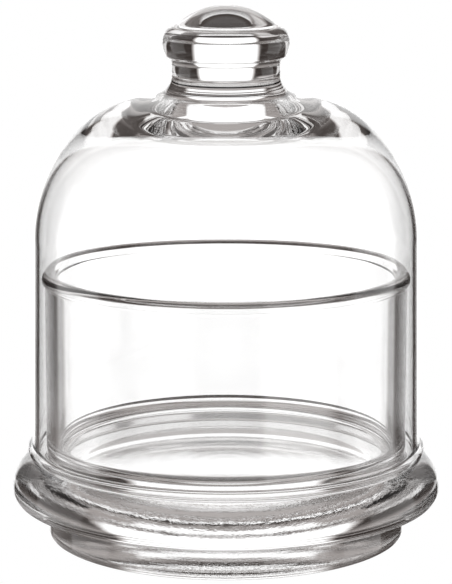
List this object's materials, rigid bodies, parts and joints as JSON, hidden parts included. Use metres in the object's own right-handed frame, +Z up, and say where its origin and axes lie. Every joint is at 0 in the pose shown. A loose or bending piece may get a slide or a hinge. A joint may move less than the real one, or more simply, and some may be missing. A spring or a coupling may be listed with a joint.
{
  "type": "cheese dome",
  "caption": "Small clear glass cheese dome: a straight cup on a rounded foot flange, under a lift-off bell dome with a round knob.",
  "frame": {"origin": "centre of the foot's resting face, on the axis", "axes": "+Z up along the axis of revolution, towards the knob; +X and +Y are any two horizontal directions, because the object is round"},
  "size_m": [0.102, 0.102, 0.1259],
  "materials": {
    "dish_glass": "clear pressed glass, fire polished",
    "dome_glass": "clear thin glass, fire polished"
  },
  "bodies": {
    "base": {"base_dish": "dish_glass"},
    "dome": {"dome_lid": "dome_glass"}
  },
  "joints": [
    {"name": "lid_lift", "type": "slide", "parent": "base", "child": "dome", "axis": [0, 0, 1], "range_m": [0, 0.07]}
  ]
}
